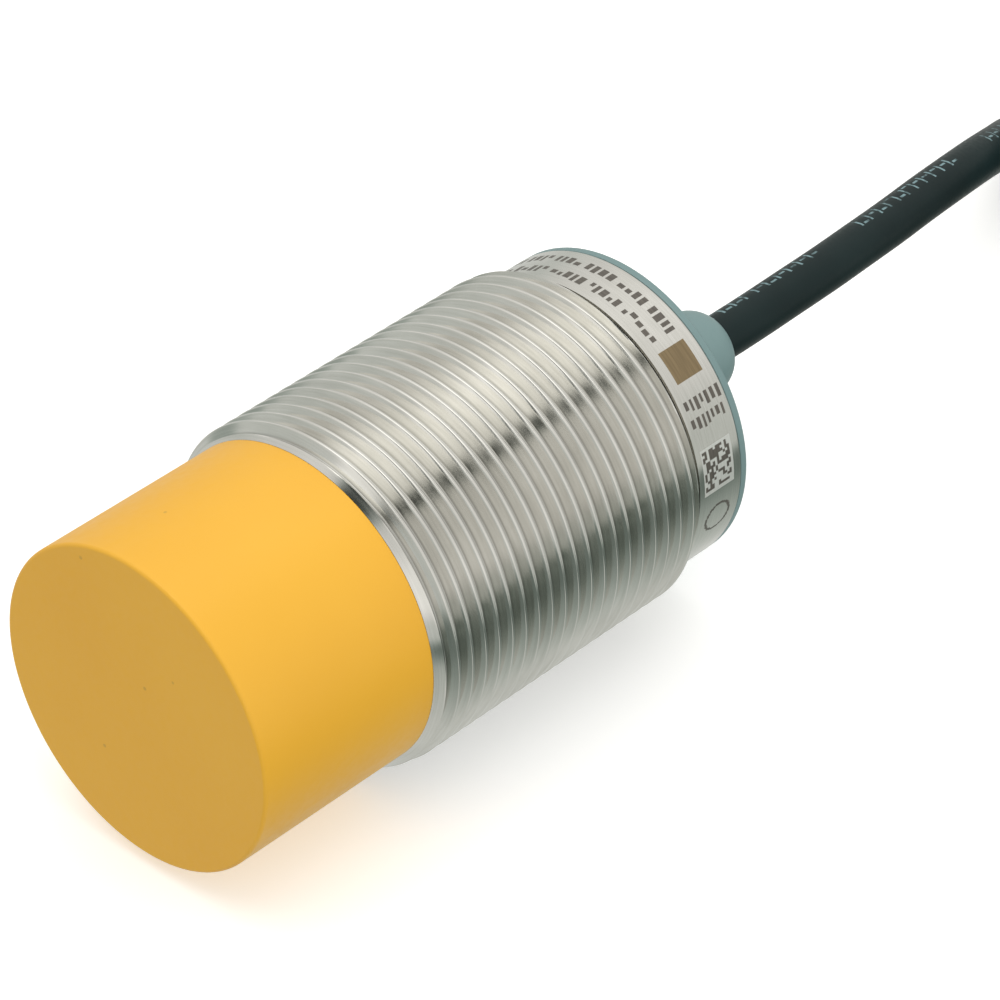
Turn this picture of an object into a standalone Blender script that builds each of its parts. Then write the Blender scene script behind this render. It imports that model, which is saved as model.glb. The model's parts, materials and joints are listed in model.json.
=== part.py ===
"""Cylindrical inductive proximity sensor with an M30 x 1.5 barrel and a fixed cable.

The sensor lies on its thread along X: sensing face at -X, cable at +X, floor at Z = 0.
Driving dimensions are in millimetres and are scaled by MM where geometry is made.
"""
import math

import bmesh
import bpy
from mathutils import Vector

MM = 0.001
OBJECT_NAME = "proximity_sensor"

# Fits between neighbouring pieces
GAP = 0.3
SOLDER_GAP = 0.1
CLEAR = 1.0

# Sides of a turned solid: outside pieces, the barrel, and small inner pieces
TURN_STEPS = 36
THREAD_STEPS = 24
INNER_STEPS = 24

# Lengths along the axis, sensing face to strain relief tip
CAP_LENGTH = 18.0
THREAD_LENGTH = 30.6
COLLAR_LENGTH = 5.2
RIM_THICKNESS = 0.8
HUB_LENGTH = 11.3
TOTAL_LENGTH = CAP_LENGTH + THREAD_LENGTH + COLLAR_LENGTH + RIM_THICKNESS + HUB_LENGTH

CAP_FRONT = -TOTAL_LENGTH / 2
BARREL_FRONT = CAP_FRONT + CAP_LENGTH
COLLAR_START = BARREL_FRONT + THREAD_LENGTH
BARREL_REAR = COLLAR_START + COLLAR_LENGTH
RIM_REAR = BARREL_REAR + RIM_THICKNESS
HUB_TIP = RIM_REAR + HUB_LENGTH

# M30 x 1.5 thread and the barrel that carries it
THREAD_RADIUS = 15.0
PITCH = 1.5
ROOT_RADIUS = THREAD_RADIUS - 0.6134 * PITCH
ROOT_HALF_FLAT = 0.125
LEAD_CHAMFER = 1.0
FIRST_CREST = 0.756
COLLAR_RADIUS = 13.92
BORE_RADIUS = 12.9
SPIGOT_RADIUS = 12.45
AXIS_HEIGHT = THREAD_RADIUS

# Sensing cap and its seal
CAP_RADIUS = 14.0
CAP_EDGE = 0.3
CAP_WALL = 1.2
CAP_BORE_RADIUS = 10.9
CAP_SPIGOT_DEPTH = 6.0
SEAL_POSITION = 3.0
SEAL_SECTION_RADIUS = 0.35
SEAL_GROOVE_WIDTH = 1.3
SEAL_GROOVE_RADIUS = 11.65

# Pot core, bobbin and winding
CORE_RADIUS = 10.6
CORE_LENGTH = 7.5
CORE_BACK = 2.2
CORE_WINDOW_OUTER = 9.2
CORE_POST_RADIUS = 4.2
CORE_POST_HOLE = 1.2
CORE_SLOT_WIDTH = 2.4
BOBBIN_WALL = 0.5
HOLDER_THICKNESS = 2.5
HOLDER_NOTCH_WIDTH = 3.0
HOLDER_NOTCH_HEIGHT = 3.2
HOLDER_NOTCH_OFFSET = 0.4
CORE_RIM_UNCUT = 0.6
LEAD_RADIUS = 0.25

# Where each coil lead runs to the board: X, distance from the middle, height
LEAD_ROUTE = [
    (-28.8, 8.95, 15.0),
    (-28.0, 10.0, 15.0),
    (-22.7, 10.0, 15.4),
    (-20.45, 9.4, 16.1),
    (-17.45, 8.0, 15.9),
]

# Circuit board
BOARD_SIZE = (35.0, 20.0, 1.0)
BOARD_FRONT = -22.0
BOARD_TOP = AXIS_HEIGHT + BOARD_SIZE[2] / 2
CHIP_BEVEL = 0.12

# Each component: size, place on the board, finish
BOARD_COMPONENTS = {
    "oscillator_chip": ((6.0, 5.0, 1.6), (-10.5, 2.5), "chip"),
    "voltage_regulator": ((4.5, 2.5, 1.5), (-9.5, -5.5), "chip"),
    "output_transistor": ((6.5, 6.0, 2.3), (0.0, -5.5), "chip"),
    "smoothing_capacitor": ((7.3, 4.3, 2.9), (0.5, 5.5), "tantalum"),
    "tuning_capacitor": ((3.2, 1.6, 1.3), (-15.0, 6.0), "ceramic"),
    "coupling_capacitor": ((3.2, 1.6, 1.3), (-15.0, -4.5), "ceramic"),
    "bypass_capacitor": ((2.0, 1.3, 1.0), (-5.0, 0.5), "ceramic"),
    "trim_resistor": ((2.0, 1.3, 0.6), (-15.0, 1.5), "chip"),
    "bias_resistor": ((2.0, 1.3, 0.6), (-15.0, -1.2), "chip"),
    "base_resistor": ((2.0, 1.3, 0.6), (-5.0, -2.5), "chip"),
    "led_resistor": ((2.0, 1.3, 0.6), (7.5, 7.8), "chip"),
    "polarity_diode": ((4.3, 2.6, 2.2), (6.8, -7.0), "chip"),
    "surge_diode": ((4.3, 2.6, 2.2), (-5.9, 6.6), "chip"),
    "status_led_left": ((2.0, 1.3, 1.1), (11.6, 7.8), "led"),
    "status_led_right": ((2.0, 1.3, 1.1), (11.6, -7.8), "led"),
}

# Casting resin and the hollows left in it
RESIN_FRONT = 9.0
RESIN_POCKET_HEIGHT = 4.4
RESIN_POCKET_LIFT = 1.2
RESIN_CHANNEL = (8.4, 5.4)

# Rear end cap
RIM_RADIUS = 13.9
RIM_EDGE = 0.3
REAR_SPIGOT_DEPTH = 3.0
REAR_CAVITY_RADIUS = 10.9
HUB_TIP_RADIUS = 2.35
HUB_RADIUS = 3.95
HUB_DOME_LENGTH = 3.2
HUB_FILLET = 3.0
HUB_BORE_END = 4.3
HUB_WALL_INSET = 0.9
CLAMP_RADIUS = 3.6
CLAMP_SQUEEZE = 0.15

# Cable and its hank
CABLE_RADIUS = 2.05
CABLE_DIAMETER = 2 * CABLE_RADIUS
CONDUCTOR_RADIUS = 0.6
ROUTE_SPACING = 2 * CABLE_DIAMETER
STUB_FRONT = 14.6

# Where each inner wire runs from the cable's end to the board: X, distance from the middle, height
WIRE_ROUTE = [
    (14.3, 1.3, 15.9),
    (13.4, 1.35, 16.2),
    (12.4, 1.5, 16.3),
    (10.6, 2.3, 16.2),
    (9.3, 2.7, 16.2),
]

# Hank: the cable folded beside its own run and tied at the waist
HANK_RUN = 74.0
HANK_FRONT_BEND = 104.0
HANK_OFFSET = -3.5
HANK_FOLD_RADIUS = 3 * CABLE_DIAMETER
HANK_COLUMNS = 2
HANK_LAYERS = 4
HANK_HALF_WIDTH = HANK_FOLD_RADIUS + (HANK_COLUMNS - 0.5) * CABLE_DIAMETER
HANK_WAIST_HALF_WIDTH = HANK_COLUMNS * CABLE_DIAMETER + 0.2
HANK_HEIGHT = HANK_LAYERS * CABLE_DIAMETER
HANK_MIDDLE = HANK_FRONT_BEND + HANK_RUN / 2
HANK_ENTRY_LENGTH = 6.0
HANK_ENTRY_WIDTH = 6.5
TAIL_HEIGHT = HANK_HEIGHT + GAP + CABLE_RADIUS
TAIL_START = 30.0
TAIL_END = -9.0
CORE_END = -26.0
CORE_FAN_START = 1.35
CORE_FAN_WIDENING = 1.0
FERRULE_LENGTH = 6.0
FERRULE_RADIUS = 0.5
TIE_WIDTH = 4.0
TIE_THICKNESS = 0.8
TIE_LIFT = 3.2
TIE_FIT = 0.25
TIE_GROOVE_DEPTH = 0.05
TIE_GROOVE_REACH = 12.0

# Where the cable runs from the strain relief to the hank: X, Y, height above the floor
CABLE_ROUTE = [
    (HUB_TIP + GAP, 0.0, 15.0),
    (38.0, 0.0, 15.0),
    (43.0, 0.1, 15.0),
    (48.0, 0.3, 14.9),
    (53.0, 0.7, 14.7),
    (58.0, 1.2, 14.4),
    (63.0, 1.9, 14.0),
    (68.0, 2.6, 13.5),
    (73.0, 3.6, 12.6),
    (78.0, 5.1, 11.0),
    (82.0, 6.9, 9.1),
    (86.0, 8.9, 6.8),
    (90.0, 10.8, 4.6),
    (94.0, 12.3, 2.8),
    (96.9, 12.8, 2.1),
]


def clear_scene():
    """Remove whatever the file holds, so that the part starts from nothing."""
    for item in list(bpy.data.objects):
        bpy.data.objects.remove(item)


def make_collection(name):
    """Return a new collection linked to the scene."""
    collection = bpy.data.collections.new(name)
    bpy.context.scene.collection.children.link(collection)
    return collection


def make_material(name, colour, roughness, metallic=0.0):
    """Return a Principled material with one finish."""
    material = bpy.data.materials.new(name)
    material.use_nodes = True
    shader = material.node_tree.nodes["Principled BSDF"]
    shader.inputs["Base Color"].default_value = (*colour, 1.0)
    shader.inputs["Roughness"].default_value = roughness
    shader.inputs["Metallic"].default_value = metallic
    return material


def add_object(name, data, material, collection):
    """Link new object data to a collection, with its material."""
    item = bpy.data.objects.new(name, data)
    collection.objects.link(item)
    data.materials.append(material)
    return item


def shade(item, angle=35.0):
    """Smooth the round faces and keep the real edges sharp."""
    item.data.shade_smooth()
    item.data.set_sharp_from_angle(angle=math.radians(angle))


def hide_cutter(item):
    """Mark an object as a cutter."""
    item.hide_render = True
    item.display_type = "WIRE"


def subtract(item, cutter):
    """Cut one solid from another."""
    boolean = item.modifiers.new("cut_" + cutter.name, "BOOLEAN")
    boolean.operation = "DIFFERENCE"
    boolean.solver = "EXACT"
    boolean.object = cutter


def evaluated_mesh(item):
    """Return the mesh that an object's modifiers or curve settings make."""
    bpy.context.view_layer.update()
    depsgraph = bpy.context.evaluated_depsgraph_get()
    return bpy.data.meshes.new_from_object(item.evaluated_get(depsgraph))


def weld(mesh):
    """Join vertices that share a place, so that a curve's caps meet its sides."""
    shape = bmesh.new()
    shape.from_mesh(mesh)
    bmesh.ops.remove_doubles(shape, verts=shape.verts, dist=0.00001)
    bmesh.ops.recalc_face_normals(shape, faces=shape.faces)
    shape.to_mesh(mesh)
    shape.free()


def as_mesh(item, material, collection):
    """Replace a curve by the welded mesh of its shape, so that it can be cut."""
    name = item.name
    mesh = evaluated_mesh(item)
    weld(mesh)
    matrix = item.matrix_world.copy()
    bpy.data.objects.remove(item)
    solid = add_object(name, mesh, material, collection)
    solid.matrix_world = matrix
    return solid


def turned(name, profile, material, collection, steps=TURN_STEPS):
    """Turn a profile of (place along X, radius) pairs about the sensor's axis."""
    mesh = bpy.data.meshes.new(name)
    points = [(radius * MM, 0.0, place * MM) for place, radius in profile]
    closed = profile[0][1] > 0.0
    edges = [(i, i + 1) for i in range(len(points) - 1)]
    if closed:
        edges.append((len(points) - 1, 0))
    mesh.from_pydata(points, edges, [])
    item = add_object(name, mesh, material, collection)
    item.location = (0.0, 0.0, AXIS_HEIGHT * MM)
    item.rotation_euler = (0.0, math.radians(90.0), 0.0)
    screw = item.modifiers.new("turn", "SCREW")
    screw.axis = "Z"
    screw.angle = math.radians(360.0)
    screw.steps = steps
    screw.render_steps = steps
    screw.use_merge_vertices = True
    screw.merge_threshold = 0.00001
    screw.use_smooth_shade = False
    return item


def box(name, size, centre, material, collection, bevel=0.0):
    """Make a box with bevelled edges."""
    mesh = bpy.data.meshes.new(name)
    shape = bmesh.new()
    bmesh.ops.create_cube(shape, size=1.0)
    bmesh.ops.scale(shape, vec=Vector(size) * MM, verts=shape.verts)
    shape.to_mesh(mesh)
    shape.free()
    item = add_object(name, mesh, material, collection)
    item.location = Vector(centre) * MM
    if bevel:
        rounding = item.modifiers.new("edges", "BEVEL")
        rounding.width = bevel * MM
        rounding.segments = 1
    return item


def tube(name, points, radius, material, collection, resolution=2):
    """Make a round wire or cable with closed ends through the points."""
    curve = bpy.data.curves.new(name, "CURVE")
    curve.dimensions = "3D"
    curve.bevel_depth = radius * MM
    curve.bevel_resolution = resolution
    curve.use_fill_caps = True
    spline = curve.splines.new("POLY")
    spline.points.add(len(points) - 1)
    for target, point in zip(spline.points, points):
        target.co = (*(Vector(point) * MM), 1.0)
    return add_object(name, curve, material, collection)


def plate(name, outlines, thickness, material, collection):
    """Extrude flat outlines, the later ones being holes in the first."""
    curve = bpy.data.curves.new(name, "CURVE")
    curve.dimensions = "2D"
    curve.fill_mode = "BOTH"
    curve.extrude = thickness * MM / 2
    for outline in outlines:
        spline = curve.splines.new("POLY")
        spline.use_cyclic_u = True
        spline.points.add(len(outline) - 1)
        for target, (x, y) in zip(spline.points, outline):
            target.co = (x * MM, y * MM, 0.0, 1.0)
    return add_object(name, curve, material, collection)


def smooth_route(points, spacing):
    """Read evenly spaced points from a smooth curve through the given points."""
    points = [Vector(point) for point in points]
    ends = [2 * points[0] - points[1]] + points + [2 * points[-1] - points[-2]]
    fine = []
    for before, start, stop, after in zip(ends, ends[1:], ends[2:], ends[3:]):
        for step in range(16):
            t = step / 16
            pull = (stop - before) * t + (2 * before - 5 * start + 4 * stop - after) * t**2
            fine.append(start + 0.5 * (pull + (3 * start - before - 3 * stop + after) * t**3))
    fine.append(points[-1])
    route = [fine[0]]
    for point in fine:
        if (point - route[-1]).length >= spacing:
            route.append(point)
    route[-1] = fine[-1]
    return route


def arc(centre, radius, start, stop, steps):
    """Return points on an arc, angles in degrees."""
    points = []
    for step in range(steps + 1):
        angle = math.radians(start + (stop - start) * step / steps)
        points.append((centre[0] + radius * math.cos(angle), centre[1] + radius * math.sin(angle)))
    return points


def round_corners(corners, radius, steps=4):
    """Return the outline that runs at one distance outside a convex polygon."""
    outline = []
    count = len(corners)
    for index, corner in enumerate(corners):
        before = Vector(corner) - Vector(corners[index - 1])
        after = Vector(corners[(index + 1) % count]) - Vector(corner)
        start = math.degrees(math.atan2(-before.x, before.y))
        stop = math.degrees(math.atan2(-after.x, after.y))
        while stop < start:
            stop += 360.0
        outline += arc(corner, radius, start, stop, steps)
    return outline


def thread_groove(material, cutters):
    """Make the helical V groove that leaves the thread standing on the barrel."""
    top_radius = THREAD_RADIUS + 0.1
    flank = math.tan(math.radians(30.0))
    half_top = ROOT_HALF_FLAT + (top_radius - ROOT_RADIUS) * flank
    start = BARREL_FRONT + FIRST_CREST - 1.5 * PITCH
    turns = math.ceil((COLLAR_START + PITCH - start) / PITCH)
    profile = [
        (start + half_top, top_radius),
        (start - half_top, top_radius),
        (start - ROOT_HALF_FLAT, ROOT_RADIUS),
        (start + ROOT_HALF_FLAT, ROOT_RADIUS),
    ]
    groove = turned("thread_groove", profile, material, cutters, steps=THREAD_STEPS)
    groove.modifiers["turn"].screw_offset = PITCH * MM
    groove.modifiers["turn"].iterations = turns
    groove.modifiers["turn"].use_merge_vertices = False
    mesh = evaluated_mesh(groove)
    shape = bmesh.new()
    shape.from_mesh(mesh)
    open_edges = [edge for edge in shape.edges if edge.is_boundary]
    bmesh.ops.holes_fill(shape, edges=open_edges)
    bmesh.ops.recalc_face_normals(shape, faces=shape.faces)
    shape.to_mesh(mesh)
    shape.free()
    groove.modifiers.clear()
    groove.data = mesh
    return groove


def make_barrel(materials, parts, cutters):
    """Steel barrel: chamfered thread, plain collar behind it, straight bore."""
    drop = THREAD_RADIUS - COLLAR_RADIUS
    profile = [
        (BARREL_REAR, COLLAR_RADIUS),
        (COLLAR_START, COLLAR_RADIUS),
        (COLLAR_START - drop, THREAD_RADIUS),
        (BARREL_FRONT + LEAD_CHAMFER, THREAD_RADIUS),
        (BARREL_FRONT, THREAD_RADIUS - LEAD_CHAMFER),
        (BARREL_FRONT, BORE_RADIUS),
        (BARREL_REAR, BORE_RADIUS),
    ]
    barrel = turned("threaded_barrel", profile, materials["steel"], parts, steps=THREAD_STEPS)
    groove = thread_groove(materials["steel"], cutters)
    hide_cutter(groove)
    subtract(barrel, groove)


def make_sensing_cap(materials, parts):
    """Closed plastic cap whose spigot plugs into the barrel, and its seal."""
    shoulder = BARREL_FRONT - GAP
    spigot_rear = BARREL_FRONT + CAP_SPIGOT_DEPTH
    seal = BARREL_FRONT + SEAL_POSITION
    edge_centre = (CAP_FRONT + CAP_EDGE, CAP_RADIUS - CAP_EDGE)
    profile = [
        (CAP_FRONT + CAP_WALL, 0.0),
        (CAP_FRONT + CAP_WALL, CAP_BORE_RADIUS),
        (spigot_rear, CAP_BORE_RADIUS),
        (spigot_rear, SPIGOT_RADIUS),
        (seal + SEAL_GROOVE_WIDTH / 2, SPIGOT_RADIUS),
        (seal + SEAL_GROOVE_WIDTH / 2, SEAL_GROOVE_RADIUS),
        (seal - SEAL_GROOVE_WIDTH / 2, SEAL_GROOVE_RADIUS),
        (seal - SEAL_GROOVE_WIDTH / 2, SPIGOT_RADIUS),
        (shoulder, SPIGOT_RADIUS),
        (shoulder, CAP_RADIUS),
    ]
    profile += arc(edge_centre, CAP_EDGE, 90.0, 180.0, 3)
    profile += [(CAP_FRONT, 0.0)]
    cap = turned("sensing_cap", profile, materials["cap"], parts)
    shade(cap)
    seal_radius = (SEAL_GROOVE_RADIUS + BORE_RADIUS) / 2
    ring = arc((seal, seal_radius), SEAL_SECTION_RADIUS, 0.0, 315.0, 7)
    turned("cap_seal_ring", ring, materials["seal"], parts, steps=INNER_STEPS)


def make_coil(materials, parts, cutters):
    """Ferrite pot core with bobbin and winding, and the holder behind it."""
    core_front = CAP_FRONT + CAP_WALL + GAP
    core_rear = core_front + CORE_LENGTH
    window_floor = core_rear - CORE_BACK
    core = turned(
        "ferrite_pot_core",
        [
            (core_rear, CORE_RADIUS),
            (core_front, CORE_RADIUS),
            (core_front, CORE_WINDOW_OUTER),
            (window_floor, CORE_WINDOW_OUTER),
            (window_floor, CORE_POST_RADIUS),
            (core_front, CORE_POST_RADIUS),
            (core_front, CORE_POST_HOLE),
            (core_rear, CORE_POST_HOLE),
        ],
        materials["ferrite"],
        parts,
    )
    slot_reach = 2 * (CORE_RADIUS + CLEAR)
    slot_start = core_front + BOBBIN_WALL
    slot = box(
        "core_lead_slots",
        (core_rear + CLEAR - slot_start, slot_reach, CORE_SLOT_WIDTH),
        ((core_rear + CLEAR + slot_start) / 2, 0.0, AXIS_HEIGHT),
        materials["ferrite"],
        cutters,
    )
    keep = box(
        "core_slot_stop",
        (CORE_LENGTH * 2, 2 * (CORE_WINDOW_OUTER - CORE_RIM_UNCUT), CORE_SLOT_WIDTH * 2),
        ((core_front + core_rear) / 2, 0.0, AXIS_HEIGHT),
        materials["ferrite"],
        cutters,
    )
    subtract(slot, keep)
    hide_cutter(slot)
    hide_cutter(keep)
    subtract(core, slot)

    bobbin_front = core_front + GAP
    bobbin_rear = window_floor - GAP
    bobbin_inner = CORE_POST_RADIUS + GAP
    bobbin_outer = CORE_WINDOW_OUTER - GAP
    drum = bobbin_inner + BOBBIN_WALL
    turned(
        "coil_bobbin",
        [
            (bobbin_rear, bobbin_outer),
            (bobbin_rear - BOBBIN_WALL, bobbin_outer),
            (bobbin_rear - BOBBIN_WALL, drum),
            (bobbin_front + BOBBIN_WALL, drum),
            (bobbin_front + BOBBIN_WALL, bobbin_outer),
            (bobbin_front, bobbin_outer),
            (bobbin_front, bobbin_inner),
            (bobbin_rear, bobbin_inner),
        ],
        materials["bobbin"],
        parts,
        steps=INNER_STEPS,
    )
    winding_front = bobbin_front + BOBBIN_WALL + SOLDER_GAP
    winding_rear = bobbin_rear - BOBBIN_WALL - SOLDER_GAP
    winding_outer = bobbin_outer - GAP
    turned(
        "coil_winding",
        [
            (winding_rear, winding_outer),
            (winding_front, winding_outer),
            (winding_front, drum + SOLDER_GAP),
            (winding_rear, drum + SOLDER_GAP),
        ],
        materials["copper"],
        parts,
        steps=INNER_STEPS,
    )
    make_core_holder(core_rear, materials, parts, cutters)
    for name, side in (("coil_lead_left", 1), ("coil_lead_right", -1)):
        tube(
            name,
            [(x, side * y, height) for x, y, height in LEAD_ROUTE],
            LEAD_RADIUS,
            materials["copper"],
            parts,
        )


def make_core_holder(core_rear, materials, parts, cutters):
    """Plastic disc behind the pot core, slotted for the board and notched for the leads."""
    front = core_rear + GAP
    rear = front + HOLDER_THICKNESS
    holder = turned(
        "core_holder",
        [(rear, 0.0), (rear, CORE_RADIUS), (front, CORE_RADIUS), (front, 0.0)],
        materials["bobbin"],
        parts,
        steps=INNER_STEPS,
    )
    slot_depth = rear - BOARD_FRONT + GAP
    slot = box(
        "holder_board_slot",
        (slot_depth + CLEAR, BOARD_SIZE[1] + 2 * GAP, BOARD_SIZE[2] + 2 * GAP),
        (rear - slot_depth + (slot_depth + CLEAR) / 2, 0.0, AXIS_HEIGHT),
        materials["bobbin"],
        cutters,
    )
    hide_cutter(slot)
    subtract(holder, slot)
    for side in (1, -1):
        notch = box(
            "holder_lead_notch",
            (HOLDER_THICKNESS * 3, HOLDER_NOTCH_WIDTH, HOLDER_NOTCH_HEIGHT),
            ((front + rear) / 2, side * (CORE_RADIUS + HOLDER_NOTCH_OFFSET), AXIS_HEIGHT),
            materials["bobbin"],
            cutters,
        )
        hide_cutter(notch)
        subtract(holder, notch)


def make_board(materials, parts):
    """Circuit board with its parts, every one standing just clear of the surface."""
    box(
        "circuit_board",
        BOARD_SIZE,
        (BOARD_FRONT + BOARD_SIZE[0] / 2, 0.0, AXIS_HEIGHT),
        materials["board"],
        parts,
    )
    for name, (size, place, finish) in BOARD_COMPONENTS.items():
        height = BOARD_TOP + SOLDER_GAP + size[2] / 2
        box(name, size, (*place, height), materials[finish], parts, bevel=CHIP_BEVEL)


def make_potting(materials, parts, cutters):
    """Casting resin behind the board, open around the board's end and the wires."""
    front = RESIN_FRONT
    rear = BARREL_REAR - REAR_SPIGOT_DEPTH - GAP
    resin = turned(
        "casting_resin",
        [(rear, 0.0), (rear, SPIGOT_RADIUS), (front, SPIGOT_RADIUS), (front, 0.0)],
        materials["resin"],
        parts,
        steps=INNER_STEPS,
    )
    pocket_rear = BOARD_FRONT + BOARD_SIZE[0] + GAP
    pocket = box(
        "resin_board_pocket",
        (pocket_rear - front + CLEAR, BOARD_SIZE[1] + 2 * GAP, RESIN_POCKET_HEIGHT),
        ((pocket_rear + front - CLEAR) / 2, 0.0, AXIS_HEIGHT + RESIN_POCKET_LIFT),
        materials["resin"],
        cutters,
    )
    channel = box(
        "resin_wire_channel",
        (rear - front + 2 * CLEAR, *RESIN_CHANNEL),
        ((rear + front) / 2, 0.0, AXIS_HEIGHT),
        materials["resin"],
        cutters,
    )
    for cutter in (pocket, channel):
        hide_cutter(cutter)
        subtract(resin, cutter)


def make_rear_cap(materials, parts):
    """Plastic end cap: spigot, thin rim, and the domed hub that holds the cable."""
    dome = []
    dome_steps = 5
    for step in range(dome_steps + 1):
        turn = math.radians(90.0 * step / dome_steps)
        place = HUB_TIP - HUB_DOME_LENGTH * (1 - math.cos(turn))
        dome.append((place, HUB_TIP_RADIUS + (HUB_RADIUS - HUB_TIP_RADIUS) * math.sin(turn)))
    fillet_centre = (RIM_REAR + HUB_FILLET, HUB_RADIUS + HUB_FILLET)
    edge_centre = (RIM_REAR - RIM_EDGE, RIM_RADIUS - RIM_EDGE)
    spigot_front = BARREL_REAR - REAR_SPIGOT_DEPTH
    cavity_floor = BARREL_REAR - HUB_WALL_INSET
    profile = [(HUB_TIP, 0.0)] + dome
    profile += arc(fillet_centre, HUB_FILLET, 270.0, 180.0, 3)
    profile += arc(edge_centre, RIM_EDGE, 0.0, 90.0, 2)
    profile += [
        (BARREL_REAR + GAP, RIM_RADIUS),
        (BARREL_REAR + GAP, SPIGOT_RADIUS),
        (spigot_front, SPIGOT_RADIUS),
        (spigot_front, REAR_CAVITY_RADIUS),
        (cavity_floor, REAR_CAVITY_RADIUS),
        (cavity_floor, CABLE_RADIUS + GAP),
        (HUB_TIP - HUB_BORE_END, CABLE_RADIUS + GAP),
        (HUB_TIP - HUB_BORE_END, 0.0),
    ]
    cap = turned("rear_end_cap", profile, materials["end_cap"], parts)
    shade(cap)
    turned(
        "cable_clamp_ring",
        [
            (cavity_floor - GAP, CLAMP_RADIUS),
            (spigot_front + GAP, CLAMP_RADIUS),
            (spigot_front + GAP, CABLE_RADIUS + CLAMP_SQUEEZE),
            (cavity_floor - GAP, CABLE_RADIUS + CLAMP_SQUEEZE),
        ],
        materials["clamp"],
        parts,
        steps=THREAD_STEPS,
    )


def make_inner_wiring(materials, parts):
    """The cable's end inside the hub and its three wires to the board."""
    tube(
        "cable_inner_end",
        [(STUB_FRONT, 0.0, AXIS_HEIGHT), (HUB_TIP - HUB_BORE_END - GAP, 0.0, AXIS_HEIGHT)],
        CABLE_RADIUS,
        materials["jacket"],
        parts,
    )
    for colour, side in (("brown", 1), ("black", 0), ("blue", -1)):
        tube(
            "inner_wire_" + colour,
            [(x, side * y, height) for x, y, height in WIRE_ROUTE],
            CONDUCTOR_RADIUS,
            materials["wire_" + colour],
            parts,
        )


def hank_side(place):
    """Return 0 at the hank's tied waist and 1 at both ends of its runs."""
    return math.sin(math.pi * (place - HANK_MIDDLE) / HANK_RUN) ** 2


def hank_outline():
    """Return the hank seen from above: two round ends, a waist, and the cable's way in."""
    spread = HANK_HALF_WIDTH - HANK_WAIST_HALF_WIDTH
    side_steps = 12
    rear_bend = HANK_FRONT_BEND + HANK_RUN
    side = []
    for step in range(1, side_steps):
        place = HANK_FRONT_BEND + HANK_RUN * step / side_steps
        side.append((place, HANK_WAIST_HALF_WIDTH + spread * hank_side(place)))
    outline = [(x, HANK_OFFSET - y) for x, y in side]
    outline += arc((rear_bend, HANK_OFFSET), HANK_HALF_WIDTH, -90.0, 90.0, 12)
    outline += [(x, HANK_OFFSET + y) for x, y in reversed(side)]
    entry_face = HANK_FRONT_BEND - HANK_ENTRY_LENGTH
    outer_edge = HANK_OFFSET + HANK_HALF_WIDTH
    outline.append((HANK_FRONT_BEND, outer_edge))
    outline.append((entry_face, outer_edge))
    outline.append((entry_face, outer_edge - HANK_ENTRY_WIDTH))
    outline += arc((HANK_FRONT_BEND, HANK_OFFSET), HANK_HALF_WIDTH, 150.0, 270.0, 8)
    return outline


def tie_corners():
    """Return the places at the waist, in Y and height, that the tie bends around."""
    side = HANK_WAIST_HALF_WIDTH - CABLE_RADIUS
    top = HANK_HEIGHT - CABLE_RADIUS
    return [(side, TIE_LIFT), (side, top), (0.0, TAIL_HEIGHT), (-side, top), (-side, TIE_LIFT)]


def across_waist(item):
    """Stand a flat outline up across the hank at its waist."""
    item.location = Vector((HANK_MIDDLE, HANK_OFFSET, 0.0)) * MM
    item.rotation_euler = (math.radians(90.0), 0.0, math.radians(90.0))


def make_hank(materials, parts, cutters):
    """The folded cable as one solid, and the tie around its waist."""
    hank = plate("cable_hank", [hank_outline()], HANK_HEIGHT, materials["jacket"], parts)
    hank.location.z = HANK_HEIGHT / 2 * MM
    hank = as_mesh(hank, materials["jacket"], parts)
    corners = tie_corners()
    groove = plate(
        "tie_groove",
        [
            round_corners(corners, TIE_GROOVE_REACH),
            round_corners(corners, CABLE_RADIUS - TIE_GROOVE_DEPTH),
        ],
        TIE_WIDTH + 2 * GAP,
        materials["jacket"],
        cutters,
    )
    across_waist(groove)
    bpy.context.view_layer.update()
    groove = as_mesh(groove, materials["jacket"], cutters)
    hide_cutter(groove)
    subtract(hank, groove)
    inner = CABLE_RADIUS + TIE_FIT
    tie = plate(
        "hank_tie",
        [round_corners(corners, inner + TIE_THICKNESS), round_corners(corners, inner)],
        TIE_WIDTH,
        materials["tie"],
        parts,
    )
    across_waist(tie)


def tail_side(place):
    """Return the tail's distance from the hank's centre line, over its lower run."""
    return -(HANK_FOLD_RADIUS + CABLE_RADIUS) * hank_side(HANK_MIDDLE + place)


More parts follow.
